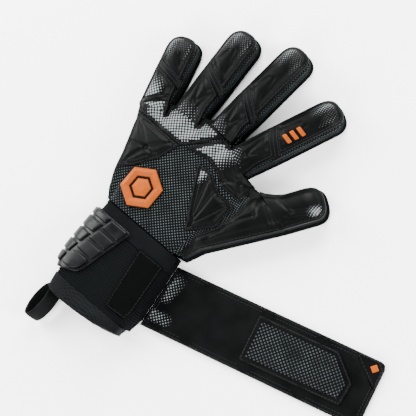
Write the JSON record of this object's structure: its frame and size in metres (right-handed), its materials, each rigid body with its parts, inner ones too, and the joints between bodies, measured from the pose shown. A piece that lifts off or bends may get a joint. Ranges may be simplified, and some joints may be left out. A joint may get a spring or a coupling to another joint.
{
  "type": "goalkeeper glove",
  "caption": "Left goalkeeper glove lying palm down with its wrist strap opened flat: latex palm, mesh sleeves, padded back, moulded wrist guard and pull loop.",
  "frame": {"origin": "centre of the palm on its rest face", "axes": "+Y from wrist to fingers, +X to the thumb side, +Z out of the back of the hand"},
  "size_m": [0.3355, 0.3172, 0.0322],
  "materials": {
    "latex": "soft matt foam latex, near black",
    "back_pad": "satin printed foam pad with silver dot fade",
    "mesh_knit": "knitted spacer mesh, charcoal with pale dots",
    "rib_knit": "ribbed elastic, near black",
    "strap_foam": "satin foam strap with bound and stitched edges",
    "hook_and_loop": "black hook-and-loop pile",
    "guard_rubber": "moulded satin rubber, dark grey",
    "badge_rubber": "raised orange rubber",
    "webbing": "woven black tape"
  },
  "bodies": {
    "hand": {"palm_latex": "latex", "back_mesh": "mesh_knit", "badge": "badge_rubber", "little_side_wall": "mesh_knit", "little_ring_web": "mesh_knit", "ring_middle_web": "mesh_knit", "middle_index_web": "mesh_knit", "thumb_wrist_wall": "mesh_knit", "index_thumb_web": "mesh_knit", "outer_knuckle_pad": "back_pad", "ulnar_knuckle_pad": "back_pad", "index_knuckle_pad": "back_pad", "thumb_side_pad": "back_pad"},
    "little_root": {"little_root_palm_latex": "latex", "little_root_sleeve": "mesh_knit", "little_root_back_pad": "back_pad"},
    "little_tip": {"little_tip_palm_latex": "latex", "little_tip_sleeve": "mesh_knit", "little_tip_back_pad": "back_pad"},
    "ring_root": {"ring_root_palm_latex": "latex", "ring_root_sleeve": "mesh_knit", "ring_root_back_pad": "back_pad"},
    "ring_tip": {"ring_tip_palm_latex": "latex", "ring_tip_sleeve": "mesh_knit", "ring_tip_back_pad": "back_pad"},
    "middle_root": {"middle_root_palm_latex": "latex", "middle_root_sleeve": "mesh_knit", "middle_root_back_pad": "back_pad"},
    "middle_tip": {"middle_tip_palm_latex": "latex", "middle_tip_sleeve": "mesh_knit", "middle_tip_back_pad": "back_pad"},
    "index_root": {"index_root_palm_latex": "latex", "index_root_sleeve": "mesh_knit", "index_root_back_pad": "back_pad"},
    "index_tip": {"index_tip_palm_latex": "latex", "index_tip_sleeve": "mesh_knit", "index_tip_back_pad": "back_pad"},
    "thumb_root": {"thumb_root_palm_latex": "latex", "thumb_root_sleeve": "mesh_knit", "thumb_root_back_pad": "back_pad"},
    "thumb_tip": {"thumb_tip_palm_latex": "latex", "thumb_tip_sleeve": "mesh_knit", "thumb_tip_back_pad": "back_pad"},
    "cuff": {"cuff_palm_latex": "latex", "knit_band": "mesh_knit", "ribbed_cuff": "rib_knit", "mesh_hem": "mesh_knit", "loop_patch": "hook_and_loop", "wrist_guard": "guard_rubber"},
    "strap_1": {"strap_length_1": "strap_foam"},
    "strap_2": {"strap_length_2": "strap_foam"},
    "strap_3": {"strap_length_3": "strap_foam", "strap_window_1": "mesh_knit"},
    "strap_4": {"strap_length_4": "strap_foam", "strap_window_2": "mesh_knit"},
    "strap_5": {"strap_length_5": "strap_foam", "strap_window_3": "mesh_knit", "hook_patch": "hook_and_loop", "corner_tab": "strap_foam"},
    "pull_loop": {"pull_loop": "webbing"}
  },
  "joints": [
    {"name": "little_knuckle", "type": "hinge", "parent": "hand", "child": "little_root", "pos_m": [-0.059, 0.04, 0.009], "axis": [-0.9673, -0.2538, 0], "range_deg": [-8, 60], "stiffness_Nm_per_rad": 0.25},
    {"name": "little_middle_fold", "type": "hinge", "parent": "little_root", "child": "little_tip", "pos_m": [-0.06712, 0.07095, 0.009], "axis": [-0.9673, -0.2538, 0], "range_deg": [0, 62], "stiffness_Nm_per_rad": 0.15},
    {"name": "ring_knuckle", "type": "hinge", "parent": "hand", "child": "ring_root", "pos_m": [-0.0295, 0.052, 0.009], "axis": [-0.999, -0.0454, 0], "range_deg": [-8, 60], "stiffness_Nm_per_rad": 0.25},
    {"name": "ring_middle_fold", "type": "hinge", "parent": "ring_root", "child": "ring_tip", "pos_m": [-0.03141, 0.09396, 0.009], "axis": [-0.999, -0.0454, 0], "range_deg": [0, 62], "stiffness_Nm_per_rad": 0.15},
    {"name": "middle_knuckle", "type": "hinge", "parent": "hand", "child": "middle_root", "pos_m": [0.0052, 0.06, 0.009], "axis": [-0.9951, 0.0993, 0], "range_deg": [-8, 60], "stiffness_Nm_per_rad": 0.25},
    {"name": "middle_middle_fold", "type": "hinge", "parent": "middle_root", "child": "middle_tip", "pos_m": [0.00878, 0.09582, 0.009], "axis": [-0.9951, 0.0993, 0], "range_deg": [0, 62], "stiffness_Nm_per_rad": 0.15},
    {"name": "index_knuckle", "type": "hinge", "parent": "hand", "child": "index_root", "pos_m": [0.0346, 0.0495, 0.009], "axis": [-0.9085, 0.4179, 0], "range_deg": [-8, 60], "stiffness_Nm_per_rad": 0.25},
    {"name": "index_middle_fold", "type": "hinge", "parent": "index_root", "child": "index_tip", "pos_m": [0.05048, 0.08402, 0.009], "axis": [-0.9085, 0.4179, 0], "range_deg": [0, 62], "stiffness_Nm_per_rad": 0.15},
    {"name": "thumb_root_fold", "type": "hinge", "parent": "hand", "child": "thumb_root", "pos_m": [0.05525, -0.0085, 0.009], "axis": [0.1489, 0.9888, 0], "range_deg": [0, 45], "stiffness_Nm_per_rad": 0.5},
    {"name": "thumb_middle_fold", "type": "hinge", "parent": "thumb_root", "child": "thumb_tip", "pos_m": [0.09343, 0.03991, 0.009], "axis": [-0.8161, 0.5779, 0], "range_deg": [0, 55], "stiffness_Nm_per_rad": 0.15},
    {"name": "wrist_fold", "type": "hinge", "parent": "hand", "child": "cuff", "pos_m": [0, -0.056, 0.014], "axis": [1, 0, 0], "range_deg": [-25, 25], "stiffness_Nm_per_rad": 1},
    {"name": "strap_root_fold", "type": "hinge", "parent": "cuff", "child": "strap_1", "pos_m": [0.05517, -0.08175, 0], "axis": [-0.2538, 0.9673, 0], "range_deg": [-25, 88], "stiffness_Nm_per_rad": 1},
    {"name": "strap_second_fold", "type": "hinge", "parent": "strap_1", "child": "strap_2", "pos_m": [0.06097, -0.08022, 0], "axis": [-0.2538, 0.9673, 0], "range_deg": [-25, 80], "stiffness_Nm_per_rad": 1},
    {"name": "strap_third_fold", "type": "hinge", "parent": "strap_2", "child": "strap_3", "pos_m": [0.11224, -0.06677, 0], "axis": [-0.2538, 0.9673, 0], "range_deg": [-25, 14], "stiffness_Nm_per_rad": 0.6},
    {"name": "strap_fourth_fold", "type": "hinge", "parent": "strap_3", "child": "strap_4", "pos_m": [0.16737, -0.05231, 0], "axis": [-0.2538, 0.9673, 0], "range_deg": [-25, 82], "stiffness_Nm_per_rad": 0.4},
    {"name": "strap_tip_fold", "type": "hinge", "parent": "strap_4", "child": "strap_5", "pos_m": [0.20993, -0.04114, 0], "axis": [-0.2538, 0.9673, 0], "range_deg": [-25, 84], "stiffness_Nm_per_rad": 0.3},
    {"name": "pull_loop_swing", "type": "hinge", "parent": "cuff", "child": "pull_loop", "pos_m": [-0.024, -0.1345, 0.0098], "axis": [1, 0, 0], "range_deg": [-35, 35], "stiffness_Nm_per_rad": 0.02}
  ]
}
